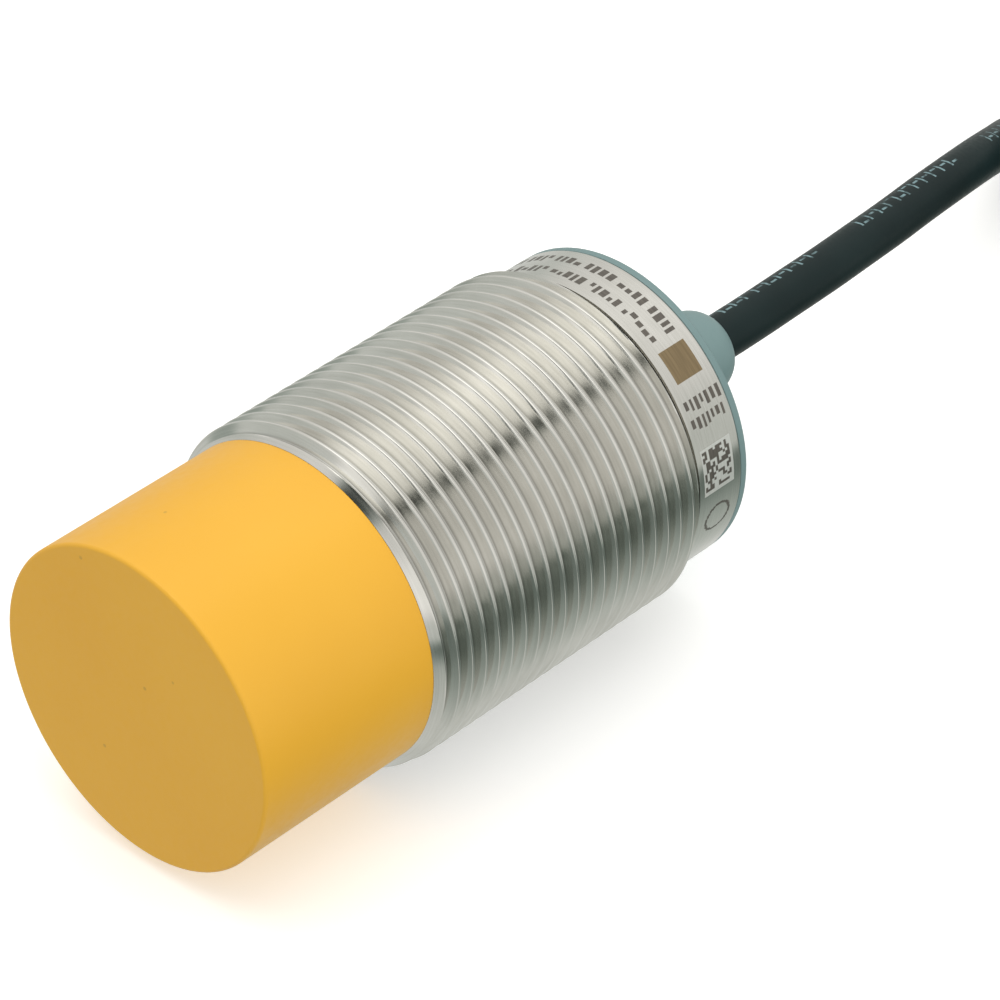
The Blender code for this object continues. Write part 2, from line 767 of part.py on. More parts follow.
def make_cable(materials, parts):
    """The free cable: the stretch down to the hank, the tail and the stripped end."""
    route = smooth_route(CABLE_ROUTE, ROUTE_SPACING)
    tube("cable_jacket", route, CABLE_RADIUS, materials["jacket"], parts, resolution=4)
    tail_steps = 8
    tail = []
    for step in range(tail_steps + 1):
        place = TAIL_START + (TAIL_END - TAIL_START) * step / tail_steps
        tail.append((HANK_MIDDLE + place, HANK_OFFSET + tail_side(place), TAIL_HEIGHT))
    tube("cable_tail", tail, CABLE_RADIUS, materials["jacket"], parts, resolution=4)
    core_height = HANK_HEIGHT + GAP + CONDUCTOR_RADIUS
    core_start = TAIL_END - 3 * GAP
    core_steps = 6
    for colour, side in (("brown", 1), ("black", 0), ("blue", -1)):
        points = []
        for step in range(core_steps + 1):
            share = step / core_steps
            place = core_start + (CORE_END - core_start) * share
            spread = side * (CORE_FAN_START + CORE_FAN_WIDENING * share)
            points.append(
                (HANK_MIDDLE + place, HANK_OFFSET + tail_side(place) + spread, core_height)
            )
        tube("free_core_" + colour, points, CONDUCTOR_RADIUS, materials["wire_" + colour], parts)
        heading = (Vector(points[-1]) - Vector(points[-2])).normalized()
        start = Vector(points[-1]) + heading * GAP
        stop = start + heading * FERRULE_LENGTH
        tube("ferrule_" + colour, [start, stop], FERRULE_RADIUS, materials["tinned"], parts)


def make_materials():
    """One finish for each kind of surface."""
    return {
        "steel": make_material("barrel_steel", (0.56, 0.56, 0.52), 0.28, 1.0),
        "cap": make_material("cap_plastic", (0.91, 0.50, 0.08), 0.45),
        "end_cap": make_material("end_cap_plastic", (0.25, 0.36, 0.37), 0.42),
        "seal": make_material("seal_rubber", (0.02, 0.02, 0.02), 0.7),
        "ferrite": make_material("ferrite", (0.05, 0.05, 0.055), 0.6),
        "bobbin": make_material("bobbin_plastic", (0.75, 0.72, 0.66), 0.5),
        "copper": make_material("copper_wire", (0.80, 0.36, 0.18), 0.3, 1.0),
        "board": make_material("board_laminate", (0.03, 0.22, 0.10), 0.4),
        "chip": make_material("chip_body", (0.03, 0.03, 0.035), 0.5),
        "tantalum": make_material("tantalum_body", (0.75, 0.45, 0.06), 0.45),
        "ceramic": make_material("ceramic_body", (0.45, 0.34, 0.22), 0.4),
        "led": make_material("led_lens", (0.90, 0.75, 0.10), 0.2),
        "resin": make_material("casting_resin", (0.35, 0.30, 0.20), 0.35),
        "clamp": make_material("clamp_brass", (0.80, 0.62, 0.30), 0.35, 1.0),
        "jacket": make_material("cable_jacket", (0.02, 0.03, 0.035), 0.42),
        "tie": make_material("tie_plastic", (0.02, 0.02, 0.02), 0.5),
        "wire_brown": make_material("wire_brown", (0.17, 0.06, 0.02), 0.4),
        "wire_black": make_material("wire_black", (0.02, 0.02, 0.02), 0.4),
        "wire_blue": make_material("wire_blue", (0.03, 0.12, 0.45), 0.4),
        "tinned": make_material("tinned_copper", (0.75, 0.75, 0.74), 0.25, 1.0),
    }


def main():
    """Build the sensor."""
    clear_scene()
    parts = make_collection(OBJECT_NAME)
    cutters = make_collection("cutters")
    materials = make_materials()
    make_barrel(materials, parts, cutters)
    make_sensing_cap(materials, parts)
    make_coil(materials, parts, cutters)
    make_board(materials, parts)
    make_potting(materials, parts, cutters)
    make_rear_cap(materials, parts)
    make_inner_wiring(materials, parts)
    make_hank(materials, parts, cutters)
    make_cable(materials, parts)


main()
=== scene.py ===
"""The looks of an inductive proximity sensor: barrel, sensing cap, end cap, cable and studio."""
import json
import math
import random

import bmesh
import bpy
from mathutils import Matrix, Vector


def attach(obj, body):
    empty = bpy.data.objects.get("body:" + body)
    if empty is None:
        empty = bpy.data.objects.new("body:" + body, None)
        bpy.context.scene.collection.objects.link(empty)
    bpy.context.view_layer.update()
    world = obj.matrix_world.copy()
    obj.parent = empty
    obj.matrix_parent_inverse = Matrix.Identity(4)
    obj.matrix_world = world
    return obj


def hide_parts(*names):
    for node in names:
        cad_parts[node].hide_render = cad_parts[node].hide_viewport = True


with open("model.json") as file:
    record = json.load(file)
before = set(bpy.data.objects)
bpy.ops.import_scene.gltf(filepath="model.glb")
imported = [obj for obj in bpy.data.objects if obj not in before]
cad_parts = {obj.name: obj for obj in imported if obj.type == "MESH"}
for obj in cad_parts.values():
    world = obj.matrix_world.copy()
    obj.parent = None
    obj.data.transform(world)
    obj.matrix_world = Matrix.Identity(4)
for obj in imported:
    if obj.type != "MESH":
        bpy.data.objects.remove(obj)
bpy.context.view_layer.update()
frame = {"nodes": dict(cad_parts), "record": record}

MM = 0.001
AXIS_HEIGHT = 15.0

# Stations along the axis, in millimetres
CAP_FRONT = -32.95
BARREL_FRONT = -14.95
COLLAR_START = 15.65
BARREL_REAR = 20.85
RIM_REAR = 21.65
HUB_TIP = 32.95
SEAM = 0.012

# Thread, in millimetres
THREAD_RADIUS = 15.0
PITCH = 1.5
ROOT_RADIUS = 14.08
ROOT_HALF_FLAT = 0.125
CREST_HALF_FLAT = 0.094
ROOT_ROUNDING = 0.12
CREST_FRONT_ROUNDING = 0.15
CREST_REAR_ROUNDING = 0.045
CREST_AT_ZERO_TURN = -13.819
LEAD_CHAMFER = 1.0
THREAD_SEGMENTS = 144

# Collar and bore; the marked rows start a little behind the undercut
COLLAR_RADIUS = 13.92
COLLAR_SEGMENTS = 720
COLLAR_ROW = 0.13
COLLAR_ROWS_AFTER = 0.22
COLLAR_RIM = 0.15
UNDERCUT_DEPTH = 0.3
UNDERCUT_WIDTH = 0.18
UNDERCUT_EDGE = 0.01
BORE_RADIUS = 12.9

# The collar's finishes, in the order of the barrel's materials
BARE, DARK, BROWN, PALE = range(4)

# Sensing cap and end cap
CAP_RADIUS = 14.0
CAP_EDGE = 0.32
SPIGOT_RADIUS = 12.45
SPIGOT_HOLLOW = 10.9
SEAL_GROOVE_RADIUS = 11.65
RIM_RADIUS = 13.9
RIM_ROUNDING = 0.3
HUB_RADIUS = 3.95
HUB_FILLET = 3.0
HUB_DOME = 3.2
HUB_MOUTH = 2.35
CABLE_HOLE = 2.13

# Cable and hank
CABLE_RADIUS = 2.05
CABLE_DIAMETER = 4.1
CABLE_SPACING = 1.5
RUN_STEPS = 60
BEND_STEPS = 40
HANK_OFFSET = -3.5
HANK_FRONT_BEND = 104.0
HANK_REAR_BEND = 178.0
HANK_MIDDLE = 141.0
HANK_RUN = 74.0
FOLD_RADIUS = 12.3
LAST_BEND_HALF = math.pi * (FOLD_RADIUS + CABLE_DIAMETER) / 2
TAIL_HEIGHT = 18.75
TAIL_END = -9.0

# Cable tie, as distances from the centres of the cables it holds
TIE_LIFT = 3.2
TIE_TOP = 14.35
TIE_SIDE = 6.35
TIE_INNER = 2.3
TIE_OUTER = 3.1
TIE_HALF_WIDTH = 2.0

# Stripped cores and their ferrules
CORE_END = -26.0
CORE_START = TAIL_END + 0.5
CORE_RADIUS = 0.6
CORE_REST_HEIGHT = 17.15
CORE_PITCH = 0.72
CORE_FAN = 1.63
FERRULE_LENGTH = 6.0
FERRULE_RADIUS = 0.5

# The print on the jacket: one stroke to a cell, in groups, in metres
PRINT_CELL = 0.0014
PRINT_GROUP = 0.021

CABLE_ROUTE = [
    (HUB_TIP - 0.8, 0.0, 15.0),
    (38.0, 0.0, 15.0),
    (43.0, 0.1, 15.0),
    (48.0, 0.3, 14.9),
    (53.0, 0.7, 14.7),
    (58.0, 1.2, 14.4),
    (63.0, 1.9, 14.0),
    (68.0, 2.6, 13.5),
    (73.0, 3.6, 12.6),
    (78.0, 5.1, 11.0),
    (82.0, 6.9, 9.1),
    (86.0, 8.9, 6.8),
    (90.0, 10.8, 4.6),
    (94.0, 12.3, 2.8),
    (96.9, 12.8, 2.1),
    (104.0, 12.9, 2.05),
]

# Column and layer of each loop of the hank, from the floor up
HANK_SLOTS = [(1, 0), (0, 0), (0, 1), (1, 1), (1, 2), (0, 2), (0, 3), (1, 3)]


# ---------------------------------------------------------------- camera

def make_camera():
    """Put the camera where it sees the sensing face, the top and the front side."""
    data = bpy.data.cameras.new("camera")
    data.lens = 180.87
    data.sensor_width = 36.0
    data.clip_end = 20.0
    camera = bpy.data.objects.new("camera", data)
    bpy.context.scene.collection.objects.link(camera)
    camera.location = (-0.22914, -0.22052, 0.25368)
    forward = Vector((0.5866, 0.5468, -0.5974))
    camera.rotation_euler = forward.to_track_quat("-Z", "Y").to_euler()
    bpy.context.scene.camera = camera


# ---------------------------------------------------------------- mesh helpers

def add_piece(name, shape, materials, smooth_angle=35.0):
    """Turn a bmesh in millimetres into a piece that rides on the sensor."""
    mesh = bpy.data.meshes.new(name)
    bmesh.ops.scale(shape, vec=(MM, MM, MM), verts=shape.verts)
    shape.to_mesh(mesh)
    shape.free()
    for material in materials:
        mesh.materials.append(material)
    mesh.shade_smooth()
    mesh.set_sharp_from_angle(angle=math.radians(smooth_angle))
    piece = bpy.data.objects.new(name, mesh)
    bpy.context.scene.collection.objects.link(piece)
    normals = piece.modifiers.new("normals", "WEIGHTED_NORMAL")
    normals.keep_sharp = True
    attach(piece, "root")
    return piece


def rounded(corners, steps=5):
    """Return the points of an outline whose corners (x, y, radius) are rounded."""
    points = []
    for index, (x, y, radius) in enumerate(corners):
        corner = Vector((x, y))
        if not radius:
            points.append(corner)
            continue
        before = Vector(corners[index - 1][:2]) - corner
        after = Vector(corners[(index + 1) % len(corners)][:2]) - corner
        half = before.angle(after) / 2
        trim = radius / math.tan(half)
        bisector = (before.normalized() + after.normalized()).normalized()
        centre = corner + bisector * radius / math.sin(half)
        first = corner + before.normalized() * trim - centre
        last = corner + after.normalized() * trim - centre
        sweep = math.pi - 2 * half
        for step in range(steps + 1):
            share = step / steps
            weight = math.sin((1 - share) * sweep) * first + math.sin(share * sweep) * last
            points.append(centre + weight / math.sin(sweep))
    return [tuple(point) for point in points]


def subdivided(points, longest):
    """Put more points on the long stretches of an outline."""
    result = [points[0]]
    for start, stop in zip(points, points[1:]):
        count = max(1, math.ceil((Vector(stop) - Vector(start)).length / longest))
        for step in range(1, count + 1):
            result.append(tuple(Vector(start).lerp(Vector(stop), step / count)))
    return result


def ring(shape, x, radius, segments):
    """Add a ring of vertices about the sensor's axis, or one on it."""
    if radius == 0.0:
        return [shape.verts.new((x, 0.0, AXIS_HEIGHT))]
    vertices = []
    for step in range(segments):
        turn = math.tau * step / segments
        place = (x, radius * math.cos(turn), AXIS_HEIGHT + radius * math.sin(turn))
        vertices.append(shape.verts.new(place))
    return vertices


def bridge(shape, first, second):
    """Join two rings with faces; either may be finer, or a point."""
    if len(second) < len(first):
        first, second = second, first
    if len(first) == 1:
        pairs = zip(second, second[1:] + second[:1])
        return [shape.faces.new((first[0], here, there)) for here, there in pairs]
    ratio = len(second) // len(first)
    faces = []
    for step in range(len(first)):
        near = [first[(step + 1) % len(first)], first[step]]
        far = [second[(step * ratio + k) % len(second)] for k in range(ratio + 1)]
        faces.append(shape.faces.new(near + far))
    return faces


def turned(name, profile, materials, segments=160):
    """Turn a profile of (x, radius) about the axis into a closed solid."""
    shape = bmesh.new()
    rings = [ring(shape, x, radius, segments) for x, radius in profile]
    for first, second in zip(rings, rings[1:]):
        bridge(shape, first, second)
    if profile[0][1] > 0.0:
        bridge(shape, rings[-1], rings[0])
    bmesh.ops.recalc_face_normals(shape, faces=shape.faces)
    return add_piece(name, shape, materials)


def arc(centre, radius, start, stop, steps):
    """Return points on an arc, angles in degrees."""
    points = []
    for step in range(steps + 1):
        angle = math.radians(start + (stop - start) * step / steps)
        across, up = radius * math.cos(angle), radius * math.sin(angle)
        points.append((centre[0] + across, centre[1] + up))
    return points


def smooth_route(points, spacing):
    """Read evenly spaced points from a smooth curve through the given points."""
    points = [Vector(point) for point in points]
    ends = [2 * points[0] - points[1]] + points + [2 * points[-1] - points[-2]]
    fine = []
    for before, start, stop, after in zip(ends, ends[1:], ends[2:], ends[3:]):
        for step in range(32):
            t = step / 32
            pull = (stop - before) * t + (2 * before - 5 * start + 4 * stop - after) * t**2
            fine.append(start + 0.5 * (pull + (3 * start - before - 3 * stop + after) * t**3))
    fine.append(points[-1])
    return evenly(fine, spacing)


def evenly(points, spacing):
    """Return points a set distance apart along a polyline."""
    points = [Vector(point) for point in points]
    total = sum((b - a).length for a, b in zip(points, points[1:]))
    count = max(1, round(total / spacing))
    step = total / count
    result = [points[0]]
    walked = 0.0
    for start, stop in zip(points, points[1:]):
        length = (stop - start).length
        while len(result) < count and walked + length >= step * len(result):
            result.append(start.lerp(stop, (step * len(result) - walked) / length))
        walked += length
    result.append(points[-1])
    return result


def sweep_tube(name, path, radius, materials, sides=24, end_rounding=0.25):
    """Sweep a round section along a path, with its length and turn as UVs."""
    shape = bmesh.new()
    layer = shape.loops.layers.uv.new("UVMap")
    frames = []
    upward = Vector((0.0, 0.0, 1.0))
    for index, point in enumerate(path):
        tangent = path[min(index + 1, len(path) - 1)] - path[max(index - 1, 0)]
        tangent.normalize()
        upward = (upward - upward.dot(tangent) * tangent).normalized()
        frames.append((point, tangent, upward.copy()))
    stations = [(*frames[0], end_rounding)]
    stations += [(*item, 0.0) for item in frames]
    stations += [(*frames[-1], end_rounding)]
    rings = []
    before = frames[0][0]
    along = 0.0
    for index, (point, tangent, up, trim) in enumerate(stations):
        if index == 1:
            point = point + tangent * end_rounding
        if index == len(stations) - 2:
            point = point - tangent * end_rounding
        side = tangent.cross(up)
        along += (point - before).length
        before = point
        row = []
        for step in range(sides):
            turn = math.tau * step / sides
            reach = (up * math.cos(turn) + side * math.sin(turn)) * (radius - trim)
            row.append(shape.verts.new(point + reach))
        rings.append((row, along))
    for (row, start), (after, stop) in zip(rings, rings[1:]):
        for step in range(sides):
            nxt = (step + 1) % sides
            face = shape.faces.new((row[step], row[nxt], after[nxt], after[step]))
            turns = (step / sides, (step + 1) / sides, (step + 1) / sides, step / sides)
            for loop, turn, u in zip(face.loops, turns, (start, start, stop, stop)):
                loop[layer].uv = (u * MM, turn)
    shape.faces.new(rings[0][0])
    shape.faces.new(rings[-1][0])
    bmesh.ops.recalc_face_normals(shape, faces=shape.faces)
    return add_piece(name, shape, materials, smooth_angle=50.0)


# ---------------------------------------------------------------- cable

def smooth(value):
    """Ease from 0 to 1."""
    value = min(1.0, max(0.0, value))
    return value * value * (3 - 2 * value)


def waist(x):
    """0 at the hank's tied waist and 1 at both ends of its runs."""
    return math.sin(math.pi * (x - HANK_MIDDLE) / HANK_RUN) ** 2


def run_point(x, side, column, layer):
    """A place on a straight run, drawn in and lifted where the tie holds it."""
    spread = CABLE_RADIUS + CABLE_DIAMETER * column + (FOLD_RADIUS - CABLE_RADIUS) * waist(x)
    free = CABLE_RADIUS + CABLE_DIAMETER * layer
    held = TIE_LIFT + (TIE_TOP - TIE_LIFT) * layer / 3
    squeeze = math.exp(-((x - HANK_MIDDLE) / 8.0) ** 2)
    return Vector((x, HANK_OFFSET + side * spread, free + (held - free) * squeeze))


def bend(x, outward, slot, climbs=False):
    """A half turn at the hank's rear (outward 1) or front (-1); the last one climbs."""
    column, layer = slot
    radius = FOLD_RADIUS + CABLE_DIAMETER * column
    lift = CABLE_RADIUS + CABLE_DIAMETER * layer
    points = []
    for step in range(1, BEND_STEPS):
        share = step / BEND_STEPS
        turn = math.pi * share
        if climbs:
            lift = tail_lift(max(0.0, 2 * share - 1) * LAST_BEND_HALF)
        along = x + outward * radius * math.sin(turn)
        across = HANK_OFFSET + outward * radius * math.cos(turn)
        points.append(Vector((along, across, lift)))
    return points


def tail_lift(travelled):
    """How high the tail has climbed from the last layer onto the top of the hank."""
    return TIE_TOP + (TAIL_HEIGHT - TIE_TOP) * smooth(travelled / 50.0)


def tail_side(place):
    """The tail's distance from the centre line at a place along the hank."""
    extra = CABLE_RADIUS * (1 - smooth((HANK_RUN / 2 - place) / 22.0))
    return -(FOLD_RADIUS + CABLE_RADIUS + extra) * waist(HANK_MIDDLE + place)


def tail_run():
    """The tail, back along the top of the hank from the last bend."""
    reach = HANK_RUN / 2 - TAIL_END
    points = []
    for step in range(RUN_STEPS + 1):
        place = HANK_RUN / 2 - reach * step / RUN_STEPS
        lift = tail_lift(LAST_BEND_HALF + HANK_RUN / 2 - place)
        points.append(Vector((HANK_MIDDLE + place, HANK_OFFSET + tail_side(place), lift)))
    return points


def outward_run(slot):
    """A run of the hank from its front bend to its rear bend."""
    points = []
    for step in range(1, RUN_STEPS):
        x = HANK_FRONT_BEND + HANK_RUN * step / RUN_STEPS
        points.append(run_point(x, 1, *slot))
    return points


def return_run(index, slot, next_slot):
    """A run back to the front bend, crossing on its way to the next loop's slot."""
    (column, layer), (next_column, next_layer) = slot, next_slot
    start = HANK_REAR_BEND - 3.0 - (6 - index) * 7.8
    points = []
    for step in range(1, RUN_STEPS):
        x = HANK_REAR_BEND - HANK_RUN * step / RUN_STEPS
        share = smooth((start - x) / 20.0)
        moved_column = column + (next_column - column) * share
        moved_layer = layer + (next_layer - layer) * share
        points.append(run_point(x, -1, moved_column, moved_layer))
    return points


def cable_path():
    """The whole cable: down from the hub, eight loops of the hank, and the tail."""
    points = smooth_route(CABLE_ROUTE, CABLE_SPACING)
    for index, (slot, next_slot) in enumerate(zip(HANK_SLOTS, HANK_SLOTS[1:])):
        points += outward_run(slot)
        points += bend(HANK_REAR_BEND, 1, slot)
        points += return_run(index, slot, next_slot)
        points += bend(HANK_FRONT_BEND, -1, next_slot)
    points += outward_run(HANK_SLOTS[-1])
    points += bend(HANK_REAR_BEND, 1, HANK_SLOTS[-1], climbs=True)
    points += tail_run()
    return evenly(points, CABLE_SPACING)


def make_cores(materials):
    """The three stripped cores, fanned out of the jacket's end, and their ferrules."""
    pieces = []
    steps = 24
    for colour, side in (("brown", 1), ("black", 0), ("blue", -1)):
        points = []
        for step in range(steps + 1):
            share = step / steps
            place = CORE_START + (CORE_END - CORE_START) * share
            fan = smooth(share * 2.2)
            bundle = CORE_PITCH if side == 0 else -0.42
            height = (TAIL_HEIGHT + bundle) * (1 - fan) + CORE_REST_HEIGHT * fan
            spread = side * (CORE_PITCH + CORE_FAN * fan)
            middle = HANK_OFFSET + tail_side(place)
            points.append(Vector((HANK_MIDDLE + place, middle + spread, height)))
        heading = (points[-1] - points[-2]).normalized()
        core = sweep_tube(
            "core_" + colour,
            evenly(points, 0.5),
            CORE_RADIUS,
            [materials["wire_" + colour]],
            sides=16,
            end_rounding=0.05,
        )
        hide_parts("free_core_" + colour)
        sleeve = points[-1] + heading * 0.25
        tip = sleeve + heading * FERRULE_LENGTH
        ferrule = sweep_tube(
            "crimped_ferrule_" + colour,
            evenly([sleeve, tip], 0.4),
            FERRULE_RADIUS,
            [materials["tinned_copper"]],
            sides=16,
            end_rounding=0.1,
        )
        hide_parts("ferrule_" + colour)
        pieces += [core, ferrule]
    return pieces


def tie_outline(reach, steps=8):
    """The tie's path around the waist, at one distance outside the cables' centres."""
    corners = [
        (TIE_SIDE, TIE_LIFT),
        (TIE_SIDE, TIE_TOP),
        (0.0, TAIL_HEIGHT),
        (-TIE_SIDE, TIE_TOP),
        (-TIE_SIDE, TIE_LIFT),
    ]
    outline = []
    for index, corner in enumerate(corners):
        before = Vector(corner) - Vector(corners[index - 1])
        after = Vector(corners[(index + 1) % len(corners)]) - Vector(corner)
        start = math.degrees(math.atan2(-before.x, before.y))
        stop = math.degrees(math.atan2(-after.x, after.y))
        while stop < start:
            stop += 360.0
        outline += arc(corner, reach, start, stop, steps)
    return outline


def make_tie(materials):
    """A cable tie around the waist: a closed band with rounded edges."""
    shape = bmesh.new()
    section = rounded(
        [
            (-TIE_HALF_WIDTH, TIE_INNER, 0.15),
            (TIE_HALF_WIDTH, TIE_INNER, 0.15),
            (TIE_HALF_WIDTH, TIE_OUTER, 0.25),
            (-TIE_HALF_WIDTH, TIE_OUTER, 0.25),
        ],
        steps=3,
    )
    rings = []
    for along, reach in section:
        x = HANK_MIDDLE + along
        outline = tie_outline(reach)
        rings.append([shape.verts.new((x, HANK_OFFSET + y, z)) for y, z in outline])
    for first, second in zip(rings, rings[1:] + rings[:1]):
        bridge(shape, first, second)
    bmesh.ops.recalc_face_normals(shape, faces=shape.faces)
    band = add_piece("cable_tie", shape, [materials["tie_plastic"]])
    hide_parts("hank_tie")
    return [band]


def make_cable(materials):
    """The free cable as one swept tube, with the stripped cores and the cable tie."""
    path = cable_path()
    cable = sweep_tube("cable", path, CABLE_RADIUS, [materials["cable_jacket"]])
    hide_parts("cable_jacket", "cable_hank", "cable_tail")
    pieces = make_cores(materials) + make_tie(materials)


# ---------------------------------------------------------------- barrel and caps

def thread_profile():
    """One pitch of the thread, from root to root: (offset from the crest, radius)."""
    flat = PITCH / 2
    corners = [
        (-flat, ROOT_RADIUS, 0.0),
        (-flat + ROOT_HALF_FLAT, ROOT_RADIUS, ROOT_ROUNDING),
        (-CREST_HALF_FLAT, THREAD_RADIUS, CREST_FRONT_ROUNDING),
        (CREST_HALF_FLAT, THREAD_RADIUS, CREST_REAR_ROUNDING),
        (flat - ROOT_HALF_FLAT, ROOT_RADIUS, ROOT_ROUNDING),
        (flat, ROOT_RADIUS, 0.0),
    ]
    return subdivided(rounded(corners, steps=6), 0.09)


def add_thread(shape):
    """Add the helical surface, cut back by a chamfer at both ends."""
    profile = thread_profile()[:-1]
    count = len(profile)
    front = (BARREL_FRONT - CREST_AT_ZERO_TURN) / PITCH - 2
    rear = (COLLAR_START - CREST_AT_ZERO_TURN) / PITCH + 2
    start = math.floor(front) * THREAD_SEGMENTS
    stop = math.ceil(rear) * THREAD_SEGMENTS
    columns = []
    for step in range(start, stop):
        turn = math.tau * step / THREAD_SEGMENTS
        crest = CREST_AT_ZERO_TURN + PITCH * step / THREAD_SEGMENTS
        column = []
        for offset, radius in profile:
            x = min(max(crest + offset, BARREL_FRONT), COLLAR_START)
            lead = THREAD_RADIUS - LEAD_CHAMFER + x - BARREL_FRONT
            runout = COLLAR_RADIUS + COLLAR_START - x
            radius = min(radius, lead, runout)
            place = (x, radius * math.cos(turn), AXIS_HEIGHT + radius * math.sin(turn))
            column.append(shape.verts.new(place))
        columns.append(column)
    for index in range(len(columns) - THREAD_SEGMENTS - 1):
        here, there = columns[index], columns[index + 1]
        here_end = here + [columns[index + THREAD_SEGMENTS][0]]
        there_end = there + [columns[index + 1 + THREAD_SEGMENTS][0]]
        for row in range(count):
            corners = (here_end[row], there_end[row], there_end[row + 1], here_end[row + 1])
            shape.faces.new(corners)


def mark_patches():
    """Plain laser-marked patches on the collar: (x0, x1, angle0, angle1, finish)."""
    chance = random.Random(7)
    patches = [(16.8, 19.85, 126.3, 138.7, BROWN)]
    # Two lines of strokes, each with a wider gap after every few
    for middle, group in ((17.35, 5), (19.3, 4)):
        angle = 122.5
        count = 0
        while angle > 48.0:
            width = chance.choice((1.5, 2.0, 2.5))
            height = chance.choice((0.25, 0.45, 0.55))
            lean = chance.choice((-0.2, 0.0, 0.2)) if height < 0.4 else 0.0
            low, high = middle + lean - height, middle + lean + height
            patches.append((low, high, angle - width, angle, DARK))
            count += 1
            angle -= width + (2.5 if count % group == 0 else 1.0)
    # Two columns of short bars
    for angle in (144.5, 151.0):
        x = 16.35
        while x < 20.2:
            width = chance.choice((0.26, 0.39))
            height = chance.choice((3.0, 4.0, 4.5))
            patches.append((x, x + width, angle, angle + height, DARK))
            x += width + 0.26
    # A pale field of random cells
    patches.append((16.45, 19.95, 162.0, 179.5, PALE))
    for column in range(12):
        for row in range(15):
            if chance.random() < 0.52:
                x = 16.6 + 0.26 * column
                angle = 163.0 + 1.0 * row
                patches.append((x, x + 0.26, angle, angle + 1.0, DARK))
    return patches


def in_ring_mark(x, angle):
    """Whether a place lies on the plain ring beside the field of cells."""
    across = math.radians(angle - 191.5) * COLLAR_RADIUS
    return abs(math.hypot(x - 18.3, across) - 1.35) < 0.13


def collar_finish(patches, x, angle):
    """The finish at one place on the collar; a later patch covers an earlier one."""
    finish = BARE
    for x0, x1, angle0, angle1, kind in patches:
        if x0 <= x < x1 and angle0 <= angle < angle1:
            finish = kind
    if finish == BARE and in_ring_mark(x, angle):
        finish = DARK
    return finish


def make_barrel(materials):
    """The threaded barrel with its marked collar, rear face and bore."""
    shape = bmesh.new()
    add_thread(shape)
    patches = mark_patches()
    rear_start = BARREL_REAR - COLLAR_RIM
    rows = math.floor((rear_start - COLLAR_START - COLLAR_ROWS_AFTER) / COLLAR_ROW)
    first_row = rear_start - rows * COLLAR_ROW
    undercut_rear = COLLAR_START + UNDERCUT_WIDTH
    coarse = ring(shape, COLLAR_START, COLLAR_RADIUS, THREAD_SEGMENTS)
    for x, radius in (
        (COLLAR_START + UNDERCUT_EDGE, COLLAR_RADIUS - UNDERCUT_DEPTH),
        (undercut_rear - UNDERCUT_EDGE, COLLAR_RADIUS - UNDERCUT_DEPTH),
        (undercut_rear, COLLAR_RADIUS),
    ):
        after = ring(shape, x, radius, THREAD_SEGMENTS)
        bridge(shape, coarse, after)
        coarse = after
    previous = ring(shape, first_row, COLLAR_RADIUS, COLLAR_SEGMENTS)
    bridge(shape, coarse, previous)
    degrees = 360.0 / COLLAR_SEGMENTS
    for row in range(1, rows + 1):
        x = first_row + row * COLLAR_ROW
        after = ring(shape, x, COLLAR_RADIUS, COLLAR_SEGMENTS)
        for step, face in enumerate(bridge(shape, previous, after)):
            angle = (step + 0.5) * degrees
            face.material_index = collar_finish(patches, x - COLLAR_ROW / 2, angle)
        previous = after
    rounding = arc((rear_start, COLLAR_RADIUS - COLLAR_RIM), COLLAR_RIM, 90.0, 0.0, 4)
    for x, radius in rounding[1:]:
        after = ring(shape, x, radius, COLLAR_SEGMENTS)
        bridge(shape, previous, after)
        previous = after
    after = ring(shape, BARREL_REAR, COLLAR_RADIUS - 2 * COLLAR_RIM, THREAD_SEGMENTS)
    bridge(shape, after, previous)
    for x, radius in (
        (BARREL_REAR, BORE_RADIUS),
        (BARREL_FRONT, BORE_RADIUS),
        (BARREL_FRONT, THREAD_RADIUS - LEAD_CHAMFER),
    ):
        previous = after
        after = ring(shape, x, radius, THREAD_SEGMENTS)
        bridge(shape, previous, after)
    bmesh.ops.remove_doubles(shape, verts=shape.verts, dist=0.002)
    bmesh.ops.dissolve_degenerate(shape, edges=shape.edges, dist=0.0005)
    loose = [vertex for vertex in shape.verts if not vertex.link_faces]
    bmesh.ops.delete(shape, geom=loose, context="VERTS")
    bmesh.ops.recalc_face_normals(shape, faces=shape.faces)
    slots = ("barrel_steel", "mark_dark", "mark_brown", "mark_pale")
    finishes = [materials[slot] for slot in slots]
    barrel = add_piece("barrel", shape, finishes)
    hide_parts("threaded_barrel")


def make_sensing_cap(materials):
    """The sensing cap: closed front, lightly rounded edge, and a spigot with a seal groove."""
    shoulder = BARREL_FRONT - SEAM
    floor_of_hollow = CAP_FRONT + 1.2
    spigot_rear = BARREL_FRONT + 6.0
    groove_rear = BARREL_FRONT + 3.65
    groove_front = BARREL_FRONT + 2.35
    outside = rounded(
        [
            (floor_of_hollow, 0.0, 0.0),
            (floor_of_hollow, SPIGOT_HOLLOW, 0.4),
            (spigot_rear, SPIGOT_HOLLOW, 0.1),
            (spigot_rear, SPIGOT_RADIUS, 0.2),
            (groove_rear, SPIGOT_RADIUS, 0.05),
            (groove_rear, SEAL_GROOVE_RADIUS, 0.05),
            (groove_front, SEAL_GROOVE_RADIUS, 0.05),
            (groove_front, SPIGOT_RADIUS, 0.05),
            (shoulder, SPIGOT_RADIUS, 0.0),
            (shoulder, CAP_RADIUS, 0.05),
            (CAP_FRONT, CAP_RADIUS, CAP_EDGE),
            (CAP_FRONT, 0.0, 0.0),
        ],
        steps=6,
    )
    cap = turned("cap", outside, [materials["cap_plastic"]], segments=192)
    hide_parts("sensing_cap")


